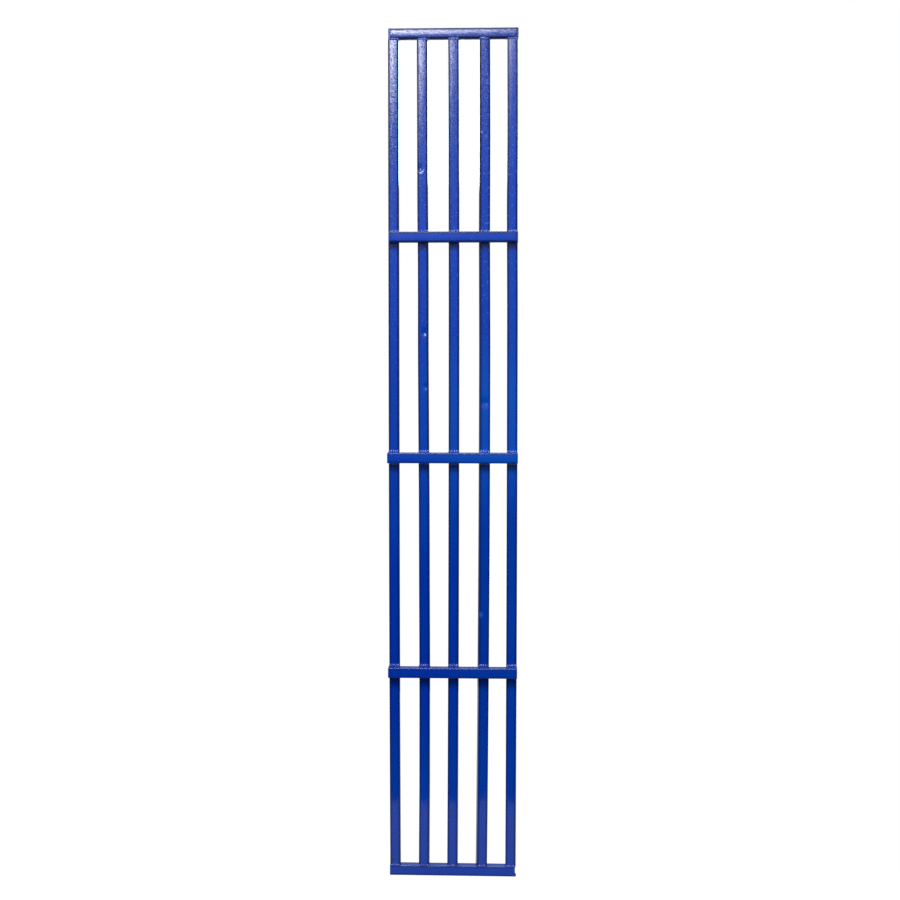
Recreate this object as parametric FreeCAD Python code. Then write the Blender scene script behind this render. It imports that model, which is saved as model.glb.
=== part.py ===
import FreeCAD, Part
import math
import os

# Welded bar grille panel: five long rails of square steel tube butted between two end tubes, with
# three crossbars lapped on the front of the rails. A push-in plastic plug closes each end of each
# cross tube. Millimetres. +Z is up along the rails, -Y is the front, the origin is the middle of
# the bottom end tube's underside, and y = 0 is the mid-plane of the rails.

# ---- Square tube -------------------------------------------------------------------------------
TUBE = 25.0            # outside width of every tube
WALL = 1.5             # wall thickness
CORNER = 3.0           # outside corner radius, paint included
HALF = TUBE / 2
BORE = TUBE - 2 * WALL
BORE_CORNER = CORNER - WALL

# ---- Panel -------------------------------------------------------------------------------------
RAIL_COUNT = 5
RAIL_GAP = 44.0        # clear gap between neighbouring rails
RAIL_PITCH = TUBE + RAIL_GAP
RAIL_LENGTH = 1940.0   # rails are cut square and butted between the end tubes
PANEL_HEIGHT = RAIL_LENGTH + 2 * TUBE
RAIL_HEIGHTS = (TUBE, PANEL_HEIGHT / 2, PANEL_HEIGHT - TUBE)
LAP_Y = -TUBE          # centreline of a crossbar lapped on the front of the rails

# The panel is welded by hand, so its rails are a little bowed: how far each centreline strays in x
# from its even place at its foot, its middle and its top.
RAIL_STRAY = {
    1: (0.0, -1.0, 0.0),
    2: (-0.5, 0.5, -2.0),
    3: (-1.5, 1.5, 1.0),
    4: (-2.0, 4.0, 3.0),
    5: (-1.5, 0.0, -1.0),
}

# Each cross tube: height and depth of its centreline, then its left and right ends over the plugs.
CROSS_TUBES = {
    "top_end_tube": (PANEL_HEIGHT - HALF, 0.0, -150.0, 150.5),
    "upper_crossbar": (1509.5, LAP_Y, -148.5, 150.5),
    "middle_crossbar": (998.0, LAP_Y, -153.0, 151.5),
    "lower_crossbar": (492.5, LAP_Y, -152.0, 151.0),
    "bottom_end_tube": (HALF, 0.0, -150.5, 150.0),
}

# ---- Push-in end plug --------------------------------------------------------------------------
PLUG_HEAD = 3.0        # thickness of the head outside the tube
PLUG_HEAD_EDGE = 1.8   # rounding of the head's outer edge
PLUG_SPIGOT = 20.6     # outside width of the spigot between its ribs
PLUG_SPIGOT_LENGTH = 18.0
PLUG_SPIGOT_WALL = 2.0
PLUG_RIB = 21.9        # outside width of a rib, 0.05 clear of the bore all round
PLUG_RIB_THICKNESS = 1.2
PLUG_RIB_PLACES = (3.0, 8.5, 14.0)   # from the head to each rib
PLUG_CORNER = 1.4

# The bottom tube's right plug has lost its head, apart from a lip along the lower edge.
BROKEN_PLUG = ("bottom_end_tube", "right")
LIP_FULL = 4.0         # height up to which the lip keeps the head's thickness
LIP_TOP = 9.0          # height at which the lip has run out

# ---- Weld beads --------------------------------------------------------------------------------
BEAD_RIPPLES = 6       # overlapping puddles in one bead
BUTT_BEAD = 4.0        # radius of a bead at the end of a rail
BUTT_BEAD_IN = 1.0     # its centre lies this far behind the face of the rail
BUTT_BEAD_UP = 1.0     # and this far past the end of the rail
LAP_BEAD = 6.0         # radius of a bead between a rail and a crossbar lapped on it
LAP_BEAD_OUT = 0.5     # its centre lies this far out from both of the faces that it joins


def point(x, y, z):
    return FreeCAD.Vector(x, y, z)


# ---- Tube sections -----------------------------------------------------------------------------
def rounded_square(side, radius, place):
    """A closed wire round a square with round corners. place(u, v) puts a point in space."""
    half = side / 2
    flat = half - radius
    middle = flat + radius * math.sqrt(0.5)
    edges = []
    for quarter in range(4):
        cosine = round(math.cos(quarter * math.pi / 2))
        sine = round(math.sin(quarter * math.pi / 2))

        def at(u, v):
            return place(u * cosine - v * sine, u * sine + v * cosine)

        edges.append(Part.LineSegment(at(half, -flat), at(half, flat)).toShape())
        edges.append(Part.Arc(at(half, flat), at(middle, middle), at(flat, half)).toShape())
    return Part.Wire(edges)


def bar_along_x(side, radius, left, right, y, z):
    """A solid bar of rounded square section from x = left to x = right."""
    wire = rounded_square(side, radius, lambda u, v: point(left, y + u, z + v))
    return Part.Face(wire).extrude(point(right - left, 0, 0))


# ---- Rails -------------------------------------------------------------------------------------
def rail_x(number, z):
    """The centreline of a rail at height z: a parabola through its three stray values."""
    low, middle, high = RAIL_STRAY[number]
    t = (z - RAIL_HEIGHTS[0]) / (RAIL_HEIGHTS[2] - RAIL_HEIGHTS[0])
    stray = low * (1 - t) * (1 - 2 * t) + middle * 4 * t * (1 - t) + high * t * (2 * t - 1)
    return (number - (RAIL_COUNT + 1) / 2) * RAIL_PITCH + stray


def rail_bar(number, side, radius):
    """A solid bar that follows a rail, with level ends."""
    wires = []
    for z in RAIL_HEIGHTS:
        x = rail_x(number, z)
        wires.append(rounded_square(side, radius, lambda u, v: point(x + u, v, z)))
    return Part.makeLoft(wires, True, False)


def rail(number):
    return rail_bar(number, TUBE, CORNER).cut(rail_bar(number, BORE, BORE_CORNER))


# ---- Cross tubes -------------------------------------------------------------------------------
def cross_tube(name):
    z, y, left, right = CROSS_TUBES[name]
    left += PLUG_HEAD
    right -= PLUG_HEAD
    outside = bar_along_x(TUBE, CORNER, left, right, y, z)
    return outside.cut(bar_along_x(BORE, BORE_CORNER, left, right, y, z))


# ---- End plugs ---------------------------------------------------------------------------------
def plug():
    """A whole plug with its head's inner face on x = 0, its outer face at +x, centred on x."""
    head = bar_along_x(TUBE, CORNER, 0, PLUG_HEAD, 0, 0)
    rim = [edge for edge in head.Edges if edge.BoundBox.XMin > PLUG_HEAD / 2]
    head = head.makeFillet(PLUG_HEAD_EDGE, rim)
    spigot = bar_along_x(PLUG_SPIGOT, PLUG_CORNER, -PLUG_SPIGOT_LENGTH, 0, 0, 0)
    ribs = []
    for place in PLUG_RIB_PLACES:
        ribs.append(bar_along_x(PLUG_RIB, PLUG_CORNER, -place - PLUG_RIB_THICKNESS, -place, 0, 0))
    hollow_side = PLUG_SPIGOT - 2 * PLUG_SPIGOT_WALL
    hollow = bar_along_x(hollow_side, PLUG_CORNER, -PLUG_SPIGOT_LENGTH, 0, 0, 0)
    return head.fuse([spigot] + ribs).cut(hollow).removeSplitter()


def break_head(whole):
    """Tears the head off a plug, apart from the lip along its lower edge."""
    corners = [
        point(0, -TUBE, LIP_TOP - HALF),
        point(PLUG_HEAD, -TUBE, LIP_FULL - HALF),
        point(PLUG_HEAD * 2, -TUBE, LIP_FULL - HALF),
        point(PLUG_HEAD * 2, -TUBE, TUBE),
        point(0, -TUBE, TUBE),
    ]
    missing = Part.Face(Part.makePolygon(corners + corners[:1])).extrude(point(0, 2 * TUBE, 0))
    return whole.cut(missing)


def end_plug(name, side):
    z, y, left, right = CROSS_TUBES[name]
    shape = plug()
    if (name, side) == BROKEN_PLUG:
        shape = break_head(shape)
    if side == "right":
        shape.translate(point(right - PLUG_HEAD, y, z))
    else:
        shape.rotate(point(0, 0, 0), point(0, 0, 1), 180)
        shape.translate(point(left + PLUG_HEAD, y, z))
    return shape


# ---- Weld beads --------------------------------------------------------------------------------
def bead(low, high, y, z, radius):
    """A row of overlapping round puddles from x = low to x = high, turned about the bead's axis."""
    pitch = (high - low - 2 * radius) / (BEAD_RIPPLES - 1)
    valley = math.sqrt(radius ** 2 - (pitch / 2) ** 2)
    last = BEAD_RIPPLES - 1
    outline = []
    for ripple in range(BEAD_RIPPLES):
        x = low + radius + ripple * pitch
        start = point(x - pitch / 2, y, z + valley) if ripple > 0 else point(low, y, z)
        end = point(x + pitch / 2, y, z + valley) if ripple < last else point(high, y, z)
        outline.append(Part.Arc(start, point(x, y, z + radius), end).toShape())
    outline.append(Part.LineSegment(point(high, y, z), point(low, y, z)).toShape())
    profile = Part.Face(Part.Wire(outline))
    return profile.revolve(point(low, y, z), point(1, 0, 0), 360)


def weld(name, number):
    """The two beads that join one rail to one cross tube."""
    tube_z, tube_y, left, right = CROSS_TUBES[name]
    envelope = [bar_along_x(TUBE, CORNER, left, right, tube_y, tube_z),
                rail_bar(number, TUBE, CORNER)]
    x = rail_x(number, tube_z)
    low = max(x - HALF, left)
    high = min(x + HALF, right)
    beads = []
    if tube_y == 0:
        # Butted end: one bead across the front and one across the back, along the rail's end.
        outward = 1 if tube_z > PANEL_HEIGHT / 2 else -1
        z = tube_z - outward * (HALF - BUTT_BEAD_UP)
        y = HALF - BUTT_BEAD_IN
        beads.append(bead(low, high, -y, z, BUTT_BEAD))
        # The back bead is ground flush, so that the panel lies flat on its back.
        rear = bead(low, high, y, z, BUTT_BEAD)
        proud = Part.makeBox(2 * TUBE, TUBE, TUBE, point(x - TUBE, HALF, z - HALF))
        beads.append(rear.cut(proud))
    else:
        # Lapped crossbar: one bead in the corner above it and one in the corner below it.
        y = -HALF - LAP_BEAD_OUT
        for way in (1, -1):
            z = tube_z + way * (HALF + LAP_BEAD_OUT)
            beads.append(bead(low, high, y, z, LAP_BEAD))
    solids = []
    for shape in beads:
        pieces = shape.cut(envelope).Solids
        solids.append(max(pieces, key=lambda piece: piece.Volume))
    return Part.Compound(solids)


# ---- Export ------------------------------------------------------------------------------------
def save(shape, node):
    if not shape.isValid():
        raise ValueError(node + " is not a valid shape")
    if len(shape.Solids) == 1:
        shape = shape.Solids[0]
    shape.exportStep(os.path.join("parts", node + ".step"))


def main():
    os.makedirs("parts", exist_ok=True)
    for number in range(1, RAIL_COUNT + 1):
        save(rail(number), f"rail_{number}")
    for name in CROSS_TUBES:
        save(cross_tube(name), name)
        for side in ("left", "right"):
            save(end_plug(name, side), f"{name}_plug_{side}")
        for number in range(1, RAIL_COUNT + 1):
            save(weld(name, number), f"weld_{name}_rail_{number}")


main()
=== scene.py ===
import math

import bpy
import numpy as np
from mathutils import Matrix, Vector


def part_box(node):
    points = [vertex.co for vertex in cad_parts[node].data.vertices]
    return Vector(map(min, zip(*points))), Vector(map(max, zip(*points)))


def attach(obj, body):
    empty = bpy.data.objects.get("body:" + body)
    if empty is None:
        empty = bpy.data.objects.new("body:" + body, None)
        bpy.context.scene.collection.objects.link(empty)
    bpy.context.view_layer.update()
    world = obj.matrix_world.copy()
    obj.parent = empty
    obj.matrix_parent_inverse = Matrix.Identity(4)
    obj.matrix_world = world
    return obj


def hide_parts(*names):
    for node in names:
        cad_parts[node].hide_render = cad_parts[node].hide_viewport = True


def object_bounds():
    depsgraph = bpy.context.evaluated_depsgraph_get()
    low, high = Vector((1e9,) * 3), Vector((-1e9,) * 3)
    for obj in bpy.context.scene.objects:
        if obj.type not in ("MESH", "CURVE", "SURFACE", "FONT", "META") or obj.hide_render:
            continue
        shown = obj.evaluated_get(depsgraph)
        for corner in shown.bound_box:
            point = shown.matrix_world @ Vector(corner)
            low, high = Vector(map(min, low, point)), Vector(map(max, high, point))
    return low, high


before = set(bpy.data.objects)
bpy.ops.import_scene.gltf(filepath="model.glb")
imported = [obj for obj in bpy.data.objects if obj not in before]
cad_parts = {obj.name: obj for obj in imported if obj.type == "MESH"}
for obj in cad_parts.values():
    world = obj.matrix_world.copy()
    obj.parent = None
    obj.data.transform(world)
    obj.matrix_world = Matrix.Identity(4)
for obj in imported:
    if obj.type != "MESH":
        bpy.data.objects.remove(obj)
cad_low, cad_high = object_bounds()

# The looks of a welded grille panel of square steel tube, sprayed with thick gloss blue paint.
# Each rail, cross tube and weld of the CAD frame, and the plug that lost its head, gets a finer
# skin of its own: faces slightly crowned, dents from use, rippled weld beads. The other plugs
# keep their CAD shape. Metres, in the CAD frame: +Z up, -Y the front.

MM = 0.001
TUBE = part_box("top_end_tube")[1].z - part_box("top_end_tube")[0].z
HALF = TUBE / 2
WALL = 1.5 * MM
CORNER = 3.0 * MM
PLUG_HEAD = 3.0 * MM
PANEL_MIDDLE = (cad_low[2] + cad_high[2]) / 2
RAILS = range(1, 6)
CROSS_TUBES = ("top_end_tube", "upper_crossbar", "middle_crossbar", "lower_crossbar",
               "bottom_end_tube")
TORN_PLUG = ("bottom_end_tube", "right")
SEED = 7

# ---- Skin of a tube ----------------------------------------------------------------------------
SKIN = TUBE - 0.1 * MM     # width of a skin before its waves and turns
CROWN = 0.2 * MM           # how far a face drops from its middle to its edges
TOP_CROWN = 0.5 * MM       # the same for the top end tube
BORE_CROWN = 0.05 * MM     # and inside the cross tubes
TOP_TILT = math.radians(0.9)   # how far the top end tube's front looks down
RAIL_WAVE = 0.06 * MM      # height of the slow waves in a rail's front face
CROSS_WAVE = 0.08 * MM     # and in a cross tube's faces
RAIL_STATION = 4.0 * MM    # spacing of the sections along a rail
CROSS_STATION = 3.0 * MM   # and along a cross tube
LEAST_STATION = 0.25 * MM  # sections of a rail closer together than this are left out
NEAR_CORNER = 0.45         # how much the points of a face next to its corners belong to them


# ---- Mesh helpers ------------------------------------------------------------------------------
def make_piece(name, points, faces, material, node, corners=None):
    """A smooth-shaded mesh that rides on the panel and stands for one CAD node.

    corners says for each point how much it belongs to a tube's corner, from 0 to 1.
    """
    mesh = bpy.data.meshes.new(name)
    mesh.from_pydata([tuple(p) for p in points], [], faces)
    mesh.update()
    mesh.polygons.foreach_set("use_smooth", [True] * len(mesh.polygons))
    mesh.materials.append(material)
    piece = bpy.data.objects.new(name, mesh)
    bpy.context.scene.collection.objects.link(piece)
    if corners is not None:
        mesh.attributes.new("corner", "FLOAT", "POINT").data.foreach_set("value", corners)
    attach(piece, "root")
    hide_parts(node)
    return piece


def ring_faces(rings, around, start=0):
    """Quads between successive rings of points, each ring having the same number of points."""
    faces = []
    for ring in range(rings - 1):
        low = start + ring * around
        for i in range(around):
            j = (i + 1) % around
            faces.append((low + i, low + j, low + around + j, low + around + i))
    return faces


def turned_over(faces):
    return [tuple(reversed(face)) for face in faces]


def quarter_turns():
    """The cosine and sine of each quarter turn."""
    for quarter in range(4):
        angle = quarter * math.pi / 2
        yield round(math.cos(angle)), round(math.sin(angle))


def section(side, corner, crown, per_face=12, per_corner=8):
    """Points round a square with round corners and crowned faces, centred on the origin.

    Returns an array of (u, v), anticlockwise from the lower end of the right-hand face, and for
    each point how much it belongs to a corner, from 0 to 1.
    """
    half = side / 2
    flat = half - corner - crown
    points = []
    corner_share = []
    for cosine, sine in quarter_turns():
        local = []
        for k in range(per_face):
            v = -flat + 2 * flat * k / per_face
            local.append((half - crown * (v / flat) ** 2, v))
        for k in range(per_corner):
            angle = math.pi / 2 * k / per_corner
            local.append((flat + corner * math.cos(angle), flat + corner * math.sin(angle)))
        for u, v in local:
            points.append((u * cosine - v * sine, u * sine + v * cosine))
        corner_share += [1.0, NEAR_CORNER] + [0.0] * (per_face - 3) + [NEAR_CORNER]
        corner_share += [1.0] * per_corner
    return np.array(points), np.array(corner_share)


def waviness(random, count=5, longest=0.30, shortest=0.05):
    """A gentle random wave along a tube, between -1 and 1."""
    lengths = random.uniform(shortest, longest, count)
    phases = random.uniform(0, 2 * math.pi, count)

    def wave(along):
        waves = [np.sin(2 * math.pi * along / w + p) for w, p in zip(lengths, phases)]
        return sum(waves) / count

    return wave


# ---- Materials ---------------------------------------------------------------------------------
class Nodes:
    """Short calls for building one material's node tree."""

    def __init__(self, name):
        self.material = bpy.data.materials.new(name)
        self.material.use_nodes = True
        self.tree = self.material.node_tree
        self.shader = self.tree.nodes["Principled BSDF"]
        self.place = self.add("ShaderNodeTexCoord").outputs["Object"]

    def add(self, kind, inputs=None, **settings):
        node = self.tree.nodes.new(kind)
        for key, value in settings.items():
            setattr(node, key, value)
        for key, value in (inputs or {}).items():
            if isinstance(value, bpy.types.NodeSocket):
                self.tree.links.new(value, node.inputs[key])
            else:
                node.inputs[key].default_value = value
        return node

    def noise(self, scale, detail=2.0, roughness=0.5):
        node = self.add("ShaderNodeTexNoise", {"Vector": self.place, "Scale": scale,
                                               "Detail": detail, "Roughness": roughness})
        return node.outputs["Fac"]

    def coordinate(self, axis):
        return self.add("ShaderNodeSeparateXYZ", {"Vector": self.place}).outputs[axis]

    def remap(self, value, low, high, to_low, to_high):
        node = self.add("ShaderNodeMapRange", {"Value": value, "From Min": low, "From Max": high,
                                               "To Min": to_low, "To Max": to_high})
        return node.outputs["Result"]

    def ease(self, value, low, high):
        """Smoothly from 0 at low to 1 at high."""
        node = self.add("ShaderNodeMapRange", {"Value": value, "From Min": low, "From Max": high},
                        interpolation_type="SMOOTHSTEP")
        return node.outputs["Result"]

    def product(self, first, second):
        node = self.add("ShaderNodeMath", {0: first, 1: second}, operation="MULTIPLY")
        return node.outputs["Value"]

    def blend(self, share, first, second):
        """A number between first and second."""
        node = self.add("ShaderNodeMapRange", {"Value": share, "To Min": first, "To Max": second})
        return node.outputs["Result"]

    def mix(self, share, first, second):
        """A colour between first and second."""
        node = self.add("ShaderNodeMix", data_type="RGBA")
        for socket, value in (("Factor_Float", share), ("A_Color", first), ("B_Color", second)):
            target = next(s for s in node.inputs if s.identifier == socket)
            if isinstance(value, bpy.types.NodeSocket):
                self.tree.links.new(value, target)
            else:
                target.default_value = value
        return next(s for s in node.outputs if s.identifier == "Result_Color")

    def bump(self, height, distance, after=None):
        inputs = {"Height": height, "Distance": distance, "Strength": 1.0}
        if after is not None:
            inputs["Normal"] = after
        return self.add("ShaderNodeBump", inputs).outputs["Normal"]

    def drive(self, socket, value):
        self.tree.links.new(value, self.shader.inputs[socket])


PAINT_THICK = (0.0004, 0.029, 0.272, 1)
PAINT_THIN = (0.0006, 0.033, 0.300, 1)
# paint under a painted sheen about the panel's middle
PAINT_SHEEN = (0.0010, 0.050, 0.335, 1)
PAINT_DEEP = (0.0004, 0.0235, 0.276, 1)
PAINT_GLINT_GAP = (0.0010, 0.012, 0.108, 1)    # painted shade between the painted glints
# painted glints: pale flecks that stand for the soft box mirrored in the orange peel
PAINT_GLINT = (0.040, 0.072, 0.345, 1)
# painted shade on the tubes' rounded corners
PAINT_CORNER_SHADE = (0.0020, 0.007, 0.045, 1)
# dark: grime at the foot of rail 1, and painted shade at both ends of the top end tube
GRIME_AND_SHADE = (0.010, 0.022, 0.060, 1)
# pale blue of painted glints: the specks of grit, and a painted highlight on rail 4
PALE_GLINT = (0.10, 0.15, 0.42, 1)
SCUFF = (0.012, 0.075, 0.40, 1)

# Marks on the front of the finished panel: middle in x and z, half width and half height, and
# their colour.
MARKS = (
    # grime at the foot of rail 1
    (-0.1425, 0.0365, 4.4 * MM, 4.4 * MM, GRIME_AND_SHADE),
    # painted shade in the crease where the left plug meets the top end tube
    (-0.1478, 1.9790, 1.6 * MM, 4.6 * MM, GRIME_AND_SHADE),
    # painted shade on the rounded right end of the top end tube, by its plug
    (0.1455, 1.9735, 2.4 * MM, 5.0 * MM, GRIME_AND_SHADE),
    # a painted highlight on rail 4
    (0.0665, 1.7510, 2.2 * MM, 3.0 * MM, PALE_GLINT),
    (0.0660, 0.6280, 5.0 * MM, 7.0 * MM, SCUFF),
)
MARK_EDGE = (1.0, 1.7)       # a mark fades out between these, in half sizes plus ragged noise
MARK_STRENGTH = 0.9

# Noise scales, per metre: the size of what each one draws is about one over it. Beside some of
# them, the values of the noise between which its effect goes from none to full.
CLOUD_SCALE, CLOUD_VALUES = 9.0, (0.35, 0.65)
WAVE_SCALE = 40.0
GLOSS_SCALE, GLOSS_VALUES = 60.0, (0.3, 0.7)
GRIT_GLINT_SCALE, GRIT_GLINT_VALUES = 230.0, (0.70, 0.76)
RAGGED_SCALE = 350.0
FLECK_SCALE, FLECK_VALUES = 420.0, (0.40, 0.60)

# Zones of the panel: the heights over which one rises, those over which it falls off again, and
# the x from which it grows towards one side.
# where a painted sheen makes the paint paler
SHEEN_ZONE = ((0.84, 1.02), (1.32, 1.14), (-0.16, 0.12))
DEEP_ZONE = ((0.26, 0.40), (0.86, 0.70), (0.14, -0.08))
GLINT_SLANT = -0.5             # the painted glints reach half a metre lower per metre to the left
GLINT_HEIGHTS = (1.50, 1.98)   # where they begin and where they cover all of the paint, at x = 0
GLINT_GLOSS = (0.14, 0.94)     # specular level between the painted glints and on them
GRIT_GLINT_HEIGHTS = (1.0, 1.8)     # the pale specks of grit, painted as glints, come in between these
CORNER_SHADE_HEIGHTS = (0.9, 1.8)    # the painted shade on the corners grows to full between these
EDGE_GLOSS = 0.15
EDGE_ROUGHNESS = 0.25
WAVE_DEPTH = 0.12 * MM
PEEL_DEPTH = 0.20 * MM
PEEL_HEIGHTS = (0.3, 1.6)    # the orange peel grows from its least to its full depth
PEEL_LEAST = 0.10


def zone(n, rise, fall, across):
    """A share from 0 to 1 that is highest in one zone of the panel."""
    height = n.coordinate("Z")
    band = n.product(n.ease(height, *rise), n.ease(height, *fall))
    return n.product(band, n.ease(n.coordinate("X"), *across))


def sheen_and_deep_tone(n, colour):
    """A painted sheen makes the paint a little paler about the panel's middle, most of all at the
    right; below it the paint is a little deeper, most of all at the left."""
    paler = n.mix(zone(n, *SHEEN_ZONE), colour, PAINT_SHEEN)
    return n.mix(zone(n, *DEEP_ZONE), paler, PAINT_DEEP)


def marked(n, colour):
    """Adds the marks, each one a ragged spot."""
    ragged = n.noise(RAGGED_SCALE, 2.0)
    for x, z, wide, tall, tint in MARKS:
        away = n.add("ShaderNodeVectorMath", {0: n.place, 1: (x, -HALF, z)}, operation="SUBTRACT")
        sizes = (1 / wide, 1 / HALF, 1 / tall)
        scaled = n.add("ShaderNodeVectorMath", {0: away.outputs["Vector"], 1: sizes},
                       operation="MULTIPLY")
        far = n.add("ShaderNodeVectorMath", {0: scaled.outputs["Vector"]}, operation="LENGTH")
        rim = n.add("ShaderNodeMath", {0: far.outputs["Value"], 1: ragged}, operation="ADD")
        spot = n.remap(rim.outputs["Value"], *MARK_EDGE, MARK_STRENGTH, 0)
        colour = n.mix(spot, colour, tint)
    return colour


def blue_paint(name, peel=1.0, glint_specks=0.45, low_shade=0.6, shine=0.5, rough=0.05):
    """Thick sprayed gloss enamel: slow waves, orange peel, slightly uneven colour and gloss.

    Towards the top of the panel, and further down at its left, where the soft box is mirrored, the
    colour has painted glints: fine paler, glossier flecks with painted shade between them. peel
    scales the relief; the next two arguments set the pale specks of grit, painted as glints, and
    how much of the painted shade on the corners is left in the lower half of the panel; shine is
    the specular level and rough the least roughness.
    """
    n = Nodes(name)
    n.shader.inputs["IOR"].default_value = 1.5
    height = n.coordinate("Z")
    # Painted glints: near the top, and further down at the left, where the soft box is mirrored,
    # pale flecks stand in for its reflection in the orange peel, with painted shade between them.
    slanted = n.add("ShaderNodeVectorMath", {0: n.place, 1: (GLINT_SLANT, 0, 1)},
                    operation="DOT_PRODUCT")
    glint_zone = n.ease(slanted.outputs["Value"], *GLINT_HEIGHTS)
    fleck = n.noise(FLECK_SCALE, 1.5)
    share = n.remap(fleck, *FLECK_VALUES, 0, 1)
    thinner = n.remap(n.noise(CLOUD_SCALE, 3.0, 0.6), *CLOUD_VALUES, 0, 1)
    cloud = sheen_and_deep_tone(n, n.mix(thinner, PAINT_THICK, PAINT_THIN))
    colour = n.mix(glint_zone, cloud, n.mix(share, PAINT_GLINT_GAP, PAINT_GLINT))
    # Painted shade: the tubes' rounded corners are darkened, fully near the top and less lower
    # down.
    edge = n.product(n.add("ShaderNodeAttribute", attribute_name="corner").outputs["Fac"],
                     n.remap(height, *CORNER_SHADE_HEIGHTS, low_shade, 1.0))
    colour = n.mix(edge, colour, PAINT_CORNER_SHADE)
    # Specks of grit, painted in pale as their glints, most of them near the top.
    grit_glints = n.remap(n.noise(GRIT_GLINT_SCALE, 0.0), *GRIT_GLINT_VALUES, 0, glint_specks)
    colour = n.mix(n.product(grit_glints, n.ease(height, *GRIT_GLINT_HEIGHTS)), colour, PALE_GLINT)
    n.drive("Base Color", marked(n, colour))
    gloss = n.remap(n.noise(GLOSS_SCALE, 3.0), *GLOSS_VALUES, rough, 2 * rough)
    n.drive("Roughness", n.blend(edge, gloss, EDGE_ROUGHNESS))
    flecked = n.blend(glint_zone, shine, n.remap(share, 0, 1, *GLINT_GLOSS))
    # The export keeps only the socket's own value.
    n.shader.inputs["Specular IOR Level"].default_value = shine
    n.drive("Specular IOR Level", n.blend(edge, flecked, EDGE_GLOSS))
    wave = n.bump(n.noise(WAVE_SCALE, 1.0), WAVE_DEPTH * peel)
    grow = n.remap(height, *PEEL_HEIGHTS, PEEL_LEAST, 1.0)
    n.drive("Normal", n.bump(n.product(fleck, grow), PEEL_DEPTH * peel, wave))
    return n.material


def pale_floor(name, shade, glow):
    n = Nodes(name)
    n.shader.inputs["Specular IOR Level"].default_value = 0.0
    cloudy = [(level,) * 3 + (1,) for level in (shade, shade * 1.03)]
    n.drive("Base Color", n.mix(n.noise(3.0), *cloudy))
    n.shader.inputs["Roughness"].default_value = 0.7
    n.shader.inputs["Emission Color"].default_value = (1, 1, 1, 1)
    n.shader.inputs["Emission Strength"].default_value = glow
    return n.material


TUBE_PAINT = blue_paint("tube_paint")
CROSS_PAINT = blue_paint("cross_paint", peel=0.15, glint_specks=0.1, low_shade=0.4, shine=0.42, rough=0.10)
WELD_PAINT = blue_paint("weld_paint", peel=0.5, glint_specks=0.6, low_shade=0.0, shine=1.0)
PLUG_PAINT = blue_paint("plug_paint", peel=0.7, glint_specks=0.1, low_shade=0.0, shine=0.4, rough=0.15)


# ---- Rails -------------------------------------------------------------------------------------
# Dents on the front faces: rail, height, place across the face from -1 to 1, half width, half
# height and depth.
DENTS = (
    (2, 1.669, -0.38, 5 * MM, 7 * MM, 2.9 * MM),
    (2, 1.290, 0.28, 5 * MM, 7 * MM, 2.3 * MM),
    (2, 1.164, 0.42, 4 * MM, 6 * MM, 1.9 * MM),
    (4, 1.126, 0.12, 7 * MM, 8 * MM, 2.4 * MM),
    (2, 0.639, -0.28, 5 * MM, 9 * MM, 0.5 * MM),
)
DENT_REACH = 2.5          # a dent has sections this many half heights above and below it
DENT_SECTIONS = 60
# How far each rail's section is turned about its own length, in degrees, at three heights. A
# positive turn faces it to the right.
TURN_HEIGHTS = (0.0, 1.80, 1.99)
RAIL_TURN = {
    1: (0.5, 1.5, 1.5),
    2: (-1.5, 1.8, 0.8),
    3: (-1.4, 2.3, 1.1),
    4: (10.0, 6.0, 5.5),
    5: (-1.0, 0.2, -0.8),
}
# The rails' smaller kinks: height and how far the skin stands right of the CAD rail there.
KINKS = {
    1: ((0.0, 0.45 * MM), (0.6, 0.0), (1.4, 0.0), (2.0, -0.5 * MM)),
    2: ((0.0, 0.3 * MM), (0.115, 0.7 * MM), (0.211, 1.2 * MM), (0.426, 1.2 * MM),
        (0.569, 0.9 * MM), (0.687, 0.4 * MM), (0.923, 0.0), (1.04, -0.7 * MM),
        (1.133, -1.0 * MM), (1.249, -1.4 * MM), (1.365, -1.0 * MM), (1.457, -0.9 * MM),
        (1.57, -1.7 * MM), (1.71, -1.5 * MM), (2.0, -0.8 * MM)),
    3: ((0.0, 0.0), (1.5, 0.0), (2.0, -0.5 * MM)),
    4: ((0.0, 0.0), (1.25, 0.0), (1.51, -1.0 * MM), (1.75, 0.0)),
    5: ((0.0, 0.0), (1.35, 0.0), (1.57, -0.9 * MM), (1.75, 0.0)),
}
KINK_EASE = 30 * MM       # a kink is eased over this distance above and below it


def centreline(node):
    """A CAD rail's foot and top, and the middle of it in x as a function of height.

    The middle is a parabola fitted to the levels where the rail has points at its full width.
    """
    points = np.array([v.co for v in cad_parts[node].data.vertices])
    foot, top = points[:, 2].min(), points[:, 2].max()
    heights, middles = [], []
    for z in np.unique(np.round(points[:, 2], 4)):
        level = points[np.abs(points[:, 2] - z) < 0.2 * MM]
        if np.ptp(level[:, 0]) > TUBE - 0.1 * MM:
            heights.append(z)
            middles.append((level[:, 0].min() + level[:, 0].max()) / 2)
    bow = np.polyfit(heights, middles, 2)
    return foot, top, lambda z: np.polyval(bow, z)


def kink(number, heights):
    """How far a rail's kinks move it in x, eased above and below each of them."""
    places, shifts = zip(*KINKS[number])
    near = np.linspace(-KINK_EASE, KINK_EASE, 13)
    return np.mean([np.interp(heights + step, places, shifts) for step in near], axis=0)


def rail_heights(number, foot, top):
    """The heights of a rail's sections: evenly spaced, and closer together at its dents."""
    heights = set(np.linspace(foot, top, int((top - foot) / RAIL_STATION) + 1))
    for rail, height, _, _, tall, _ in DENTS:
        if rail == number:
            reach = DENT_REACH * tall
            heights |= set(np.linspace(height - reach, height + reach, DENT_SECTIONS))
    heights = np.array(sorted(heights))
    apart = np.diff(heights, prepend=foot - RAIL_STATION) > LEAST_STATION
    apart[-1] = True
    return heights[apart]


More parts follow.
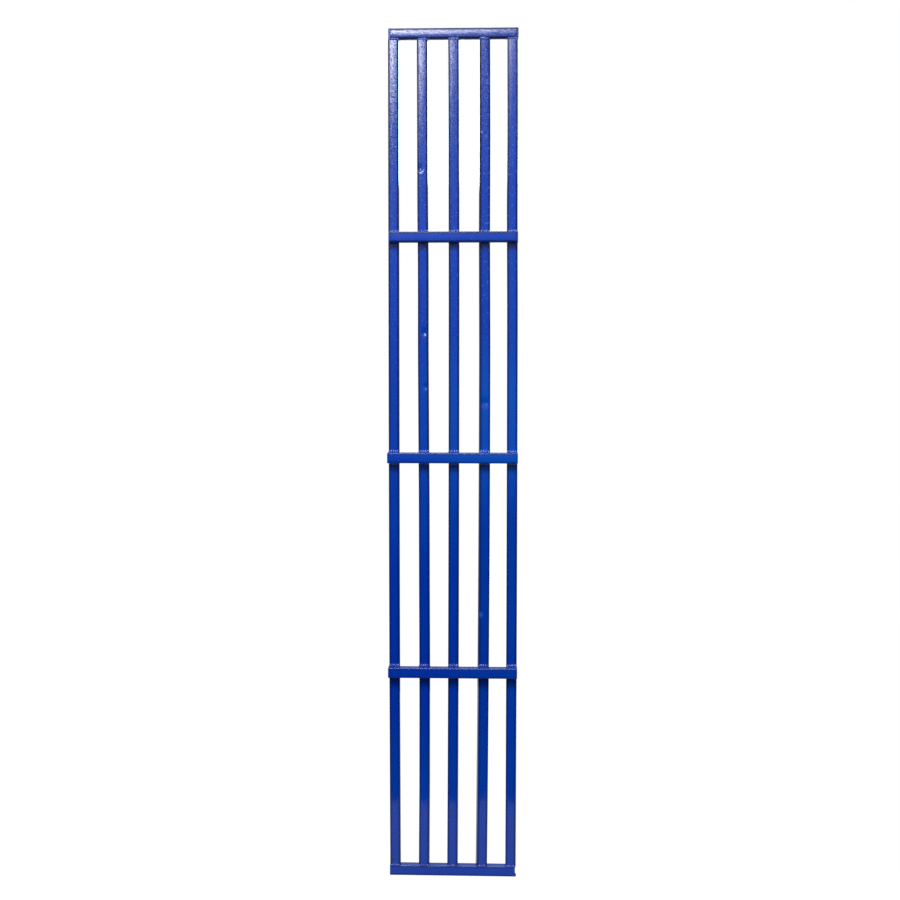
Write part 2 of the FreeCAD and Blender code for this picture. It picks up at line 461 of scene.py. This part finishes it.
def rail_skin(number, random):
    node = f"rail_{number}"
    foot, top, middle = centreline(node)
    heights = rail_heights(number, foot, top)
    outline, share = section(SKIN, CORNER, CROWN)
    around = len(outline)
    turn = np.radians(np.interp(heights, TURN_HEIGHTS, RAIL_TURN[number]))[:, None]
    wave = waviness(random)(heights)[:, None] * RAIL_WAVE
    u = outline[None, :, 0] * np.cos(turn) - outline[None, :, 1] * np.sin(turn)
    v = outline[None, :, 0] * np.sin(turn) + outline[None, :, 1] * np.cos(turn)
    # The turned section is squeezed back to the panel's thickness.
    v = v * np.minimum(1, HALF / np.abs(v).max(axis=1))[:, None]
    v = v + wave * np.clip(-v / HALF, 0, 1)
    z = np.repeat(heights[:, None], around, axis=1)
    for rail, height, place, wide, tall, deep in DENTS:
        if rail == number:
            across = (u - place * HALF) / wide
            along = (z - height) / tall
            in_front = np.clip((-v - HALF / 2) / (HALF / 4), 0, 1)
            v = v + deep * np.exp(-across ** 2 - along ** 2) * in_front
    x = u + middle(z) + kink(number, heights)[:, None]
    points = np.stack([x, v, z], axis=-1).reshape(-1, 3)
    faces = ring_faces(len(heights), around)
    faces.append(tuple(reversed(range(around))))
    faces.append(tuple(range(len(points) - around, len(points))))
    return make_piece(f"{node}_painted", points, faces, TUBE_PAINT, node,
                      corners=np.tile(share, len(heights)))


# ---- Cross tubes -------------------------------------------------------------------------------
def cross_skin(name, random):
    """A hollow tube along x, open at its ends for the plugs."""
    low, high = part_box(name)
    middle = (low + high) / 2
    stations = np.linspace(low.x, high.x, int((high.x - low.x) / CROSS_STATION) + 1)
    on_top = name == "top_end_tube"
    crown, tilt, paint = (TOP_CROWN, TOP_TILT, TUBE_PAINT) if on_top else (CROWN, 0.0, CROSS_PAINT)
    outside, share = section(SKIN, CORNER, crown)
    outside = outside @ np.array([[math.cos(tilt), math.sin(tilt)],
                                  [-math.sin(tilt), math.cos(tilt)]])
    outside *= min(1, HALF / np.abs(outside).max())
    inside, _ = section(TUBE - 2 * WALL, CORNER - WALL, BORE_CROWN)
    around = len(outside)
    wave = waviness(random)(stations) * CROSS_WAVE
    points = []
    for outline in (outside, inside):
        for x, shift in zip(stations, wave):
            for y, z in outline:
                points.append((x, middle.y + y * (1 - abs(shift) / HALF), middle.z + z))
    rings = len(stations)
    faces = turned_over(ring_faces(rings, around))
    faces += ring_faces(rings, around, rings * around)
    for ring, flip in ((0, False), (rings - 1, True)):
        outer, inner = ring * around, (rings + ring) * around
        for i in range(around):
            j = (i + 1) % around
            face = (outer + i, outer + j, inner + j, inner + i)
            faces.append(tuple(reversed(face)) if flip else face)
    return make_piece(f"{name}_painted", points, faces, paint, name,
                      corners=np.tile(share, 2 * rings))


# ---- Torn plug ---------------------------------------------------------------------------------
STUMP = 0.15              # share of the CAD head's thickness that is left
NUB_ROOT = 0.3 * MM       # the nub starts this far inside the tube's end
NUB_LENGTH = 3.1 * MM
NUB_Y, NUB_HALF_WIDTH = -7.4 * MM, 5.0 * MM
NUB_Z, NUB_HALF_HEIGHT = 3.5 * MM, 3.3 * MM
NUB_SQUARENESS = 0.6      # 1 gives an ellipse, and less comes nearer to a rectangle


def torn_plug(name):
    """The plug that has lost its head: its spigot, and what is left of the head as a small nub."""
    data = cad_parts[name].data
    points = np.array([v.co for v in data.vertices])
    tube_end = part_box(name)[1].x - PLUG_HEAD
    out = points[:, 0] - tube_end
    points[:, 0] = np.where(out > 0, tube_end + STUMP * out, points[:, 0])
    faces = [tuple(p.vertices) for p in data.polygons]
    flat = len(faces)
    rings, around = 12, 32
    nub = []
    for k in range(rings):
        t = k / (rings - 1)
        full = math.sqrt(max(0.0, 1 - t ** 3))
        for i in range(around):
            angle = 2 * math.pi * i / around
            wide = math.copysign(abs(math.cos(angle)) ** NUB_SQUARENESS, math.cos(angle))
            tall = math.copysign(abs(math.sin(angle)) ** NUB_SQUARENESS, math.sin(angle))
            nub.append((tube_end - NUB_ROOT + NUB_LENGTH * t,
                        NUB_Y + NUB_HALF_WIDTH * full * wide,
                        NUB_Z + NUB_HALF_HEIGHT * full * tall))
    start = len(points)
    points = np.concatenate([points, nub])
    faces += ring_faces(rings, around, start)
    faces.append(tuple(reversed(range(start, start + around))))
    piece = make_piece(f"{name}_torn", points, faces, PLUG_PAINT, name)
    smooth = [False] * flat + [True] * (len(faces) - flat)
    piece.data.polygons.foreach_set("use_smooth", smooth)
    return piece


# ---- Weld beads --------------------------------------------------------------------------------
BUTT_RADIUS = 3.4 * MM
BUTT_IN = 1.6 * MM        # a butt bead's axis lies this far behind the rail's face
BUTT_UP = 0.4 * MM        # and this far past the rail's end
UPPER_RADIUS = 6.0 * MM
UPPER_OUT = 0.5 * MM      # an upper lap bead's axis lies this far out from both faces
LOWER_RADIUS = 4.6 * MM
LOWER_OUT = 0.2 * MM
PITCHES = (4.6, 6.2)      # least and greatest length of a ripple, in mm
RIPPLE_LAG = 0.35         # how far a ripple trails at one side of the bead, in ripples
VALLEY = 0.66             # a bead's width between two ripples, as a share of its width on them
RIPPLE_RISE = 1 - VALLEY
RIPPLE_ROUNDNESS = 0.7    # 1 gives a sine's ripple, and less a rounder one with a sharper valley
LUMP_LENGTHS = (22 * MM, 8 * MM)   # longest and shortest of a bead's lumps
ROUND_LUMP = 0.10         # how much they change its width, all round and to one side
SIDE_LUMP = 0.08
DRIFT = 0.4 * MM          # how far its axis wanders


def bead_points(low, high, y, z, radius, random):
    """One lumpy, rippled bead along x, as rings of points that close at both ends."""
    rings, around = 44, 28
    pitch = random.uniform(*PITCHES) * MM
    phase = random.uniform(0, 1)
    round_lump, side_lump, drift = [waviness(random, 3, *LUMP_LENGTHS) for _ in range(3)]
    points = []
    for k in range(rings):
        t = k / (rings - 1)
        end = math.sqrt(max(0.0, 1 - abs(2 * t - 1) ** 5))
        x = low + (high - low) * t
        for i in range(around):
            angle = 2 * math.pi * i / around
            ripple = ((x - low) / pitch + phase + RIPPLE_LAG * math.cos(angle)) % 1.0
            swell = VALLEY + RIPPLE_RISE * math.sin(math.pi * ripple) ** RIPPLE_ROUNDNESS
            lump = 1 + ROUND_LUMP * round_lump(x) + SIDE_LUMP * side_lump(x) * math.cos(angle)
            r = radius * end * swell * lump
            points.append((x, y + r * math.cos(angle) + DRIFT * drift(x),
                           z + r * math.sin(angle)))
    return points, rings, around


def bead_axes(name):
    """The y, z and radius of the two beads that join each rail to a cross tube."""
    tube_low, tube_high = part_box(name)
    centre_z = (tube_low.z + tube_high.z) / 2
    lapped = tube_low.y < -TUBE
    if lapped:
        return [(-HALF - UPPER_OUT, centre_z + HALF + UPPER_OUT, UPPER_RADIUS),
                (-HALF - LOWER_OUT, centre_z - HALF - LOWER_OUT, LOWER_RADIUS)]
    outward = 1 if centre_z > PANEL_MIDDLE else -1
    return [(way * (HALF - BUTT_IN), centre_z - outward * (HALF + BUTT_UP), BUTT_RADIUS)
            for way in (-1, 1)]


def weld_skin(name, number, random):
    node = f"weld_{name}_rail_{number}"
    low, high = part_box(node)
    points, faces = [], []
    for y, z, radius in bead_axes(name):
        made, rings, around = bead_points(low.x, high.x, y, z, radius, random)
        faces += turned_over(ring_faces(rings, around, len(points)))
        points += made
    points = np.array(points)
    # The beads at the back are ground flush with the rails.
    points[:, 1] = np.minimum(points[:, 1], HALF)
    return make_piece(f"{node}_bead", points, faces, WELD_PAINT, node)


# ---- Studio ------------------------------------------------------------------------------------
# Brightness of the studio that the paint mirrors, by height of direction: 0 is straight down, 0.5
# level and 1 straight up. One list for the side that the camera is on, one for the far side.
NEAR_SIDE = ((0.0, 0.01), (0.45, 0.01), (0.458, 0.04), (0.468, 0.12), (0.482, 0.19),
             (0.497, 0.15), (0.52, 0.22), (0.545, 0.55), (0.60, 0.50), (1.0, 0.45))
FAR_SIDE = ((0.0, 0.18), (0.48, 0.17), (0.60, 0.18), (0.68, 0.45), (1.0, 0.55))
FAR_BLEND = (0.3, 0.8)    # the far side takes over between these values of a direction's y

# Corners of the floor that the camera sees, and of the one that lights the paint and shows in it.
# The second one's front edge ends the pale reflection at the foot of the rails.
FLOOR_LOW, FLOOR_HIGH = (-12, -12), (12, 12)
LIT_LOW, LIT_HIGH = (-2, -0.62), (2, 2)

WHITE = (1, 1, 1)
SKY_BLUE = (0.45, 0.7, 1.0)
# The camera was fitted to the edges of the tubes in the photograph.
CAMERA_PLACE = Vector((0.141, -3.576, 1.231))
CAMERA_AIM = Vector((-0.0077, 0, 1.015))
LENS = 61.1
SENSOR = 36


def look_at(thing, place, aim):
    thing.location = place
    thing.rotation_euler = (Vector(aim) - Vector(place)).to_track_quat("-Z", "Y").to_euler()
    bpy.context.scene.collection.objects.link(thing)


def area_light(name, place, aim_height, size, power, mirrored=True, diffuse=True, tint=WHITE):
    """A soft box, not seen itself, that looks at the panel's axis at a height.

    mirrored says if the gloss shows it, and diffuse if it lights the colour under the gloss.
    """
    data = bpy.data.lights.new(name, "AREA")
    data.color = tint
    data.shape = "RECTANGLE"
    data.size, data.size_y = size
    data.energy = power
    lamp = bpy.data.objects.new(name, data)
    lamp.visible_camera = False
    lamp.visible_glossy = mirrored
    lamp.visible_diffuse = diffuse
    look_at(lamp, place, (0, 0, aim_height))


def plane(name, low, high, z, material):
    mesh = bpy.data.meshes.new(name)
    corners = [(low[0], low[1], z), (high[0], low[1], z),
               (high[0], high[1], z), (low[0], high[1], z)]
    mesh.from_pydata(corners, [], [(0, 1, 2, 3)])
    mesh.materials.append(material)
    made = bpy.data.objects.new(name, mesh)
    bpy.context.scene.collection.objects.link(made)
    return made


def studio_world():
    """White backdrop to the camera; a softly graded studio to the paint."""
    world = bpy.data.worlds.new("studio")
    bpy.context.scene.world = world
    world.use_nodes = True
    tree = world.node_tree
    tree.nodes.clear()

    def add(kind, **settings):
        node = tree.nodes.new(kind)
        for key, value in settings.items():
            setattr(node, key, value)
        return node

    out = add("ShaderNodeOutputWorld")
    place = add("ShaderNodeTexCoord")
    split = add("ShaderNodeSeparateXYZ")
    tree.links.new(place.outputs["Generated"], split.inputs["Vector"])
    height = add("ShaderNodeMapRange")
    height.inputs["From Min"].default_value = -1
    tree.links.new(split.outputs["Z"], height.inputs["Value"])

    def ramp(stops):
        """Brightness by height of direction."""
        node = add("ShaderNodeValToRGB")
        elements = node.color_ramp.elements
        for element, (position, level) in ((elements[0], stops[0]), (elements[1], stops[-1])):
            element.position, element.color = position, (level,) * 3 + (1,)
        for position, level in stops[1:-1]:
            elements.new(position).color = (level,) * 3 + (1,)
        tree.links.new(height.outputs["Result"], node.inputs["Fac"])
        return node.outputs["Color"]

    near, far = ramp(NEAR_SIDE), ramp(FAR_SIDE)
    behind = add("ShaderNodeMapRange", interpolation_type="SMOOTHSTEP")
    behind.inputs["From Min"].default_value, behind.inputs["From Max"].default_value = FAR_BLEND
    tree.links.new(split.outputs["Y"], behind.inputs["Value"])
    graded = add("ShaderNodeMix", data_type="RGBA")
    sockets = {s.identifier: s for s in graded.inputs}
    tree.links.new(behind.outputs["Result"], sockets["Factor_Float"])
    tree.links.new(near, sockets["A_Color"])
    tree.links.new(far, sockets["B_Color"])
    result = next(s for s in graded.outputs if s.identifier == "Result_Color")
    seen = add("ShaderNodeBackground")
    seen.inputs["Color"].default_value = (1, 1, 1, 1)
    lit = add("ShaderNodeBackground")
    tree.links.new(result, lit.inputs["Color"])
    path = add("ShaderNodeLightPath")
    choose = add("ShaderNodeMixShader")
    tree.links.new(path.outputs["Is Camera Ray"], choose.inputs["Fac"])
    tree.links.new(lit.outputs["Background"], choose.inputs[1])
    tree.links.new(seen.outputs["Background"], choose.inputs[2])
    tree.links.new(choose.outputs["Shader"], out.inputs["Surface"])


def studio():
    """The camera sees a plain white floor; the paint is lit by another one just under it."""
    studio_world()
    floor = plane("floor", FLOOR_LOW, FLOOR_HIGH, 0.0, pale_floor("floor_pale", 0.02, 1.0))
    floor.visible_glossy = False
    floor.visible_diffuse = False
    near = plane("floor_near", LIT_LOW, LIT_HIGH, -0.5 * MM, pale_floor("floor_lit", 0.8, 0.2))
    near.visible_camera = False
    # Mirrored at the top of the panel, most of all at the left.
    area_light("veil", (-0.63, -2.35, 2.62), 0.95, (1.2, 0.68), 38.5)
    # The main light from above, and a weaker one that lifts the lower half.
    area_light("soft", (-0.4, -2.2, 3.1), 0.9, (1.0, 0.6), 62, mirrored=False)
    area_light("low", (-0.5, -3.0, 1.9), 1.1, (1.6, 1.0), 21, mirrored=False)
    # Two faint reflections, in the left rails and in the right rails.
    area_light("left", (-0.75, -2.35, 1.98), 1.2, (0.9, 0.5), 0.6)
    area_light("fill", (0.25, -2.6, 2.92), 1.0, (0.55, 0.8), 6.5)
    # On the rails' corners from behind, and on the upper sides of the crossbars and beads.
    area_light("back", (0.3, 2.8, 2.6), 1.0, (2.0, 1.4), 60, tint=SKY_BLUE)
    area_light("over", (-0.2, -1.3, 3.3), 1.2, (1.6, 0.6), 50, diffuse=False)


def camera():
    data = bpy.data.cameras.new("camera")
    data.sensor_width = SENSOR
    data.lens = LENS
    data.clip_end = 100
    made = bpy.data.objects.new("camera", data)
    look_at(made, CAMERA_PLACE, CAMERA_AIM)
    bpy.context.scene.camera = made


# ---- Build -------------------------------------------------------------------------------------
random = np.random.default_rng(SEED)
for number in RAILS:
    rail_skin(number, random)
for name in CROSS_TUBES:
    cross_skin(name, random)
    for number in RAILS:
        weld_skin(name, number, random)
    for side in ("left", "right"):
        plug = f"{name}_plug_{side}"
        if (name, side) == TORN_PLUG:
            torn_plug(plug)
        else:
            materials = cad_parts[plug].data.materials
            materials.clear()
            materials.append(PLUG_PAINT)
studio()
camera()
bpy.context.scene.view_settings.view_transform = "Standard"
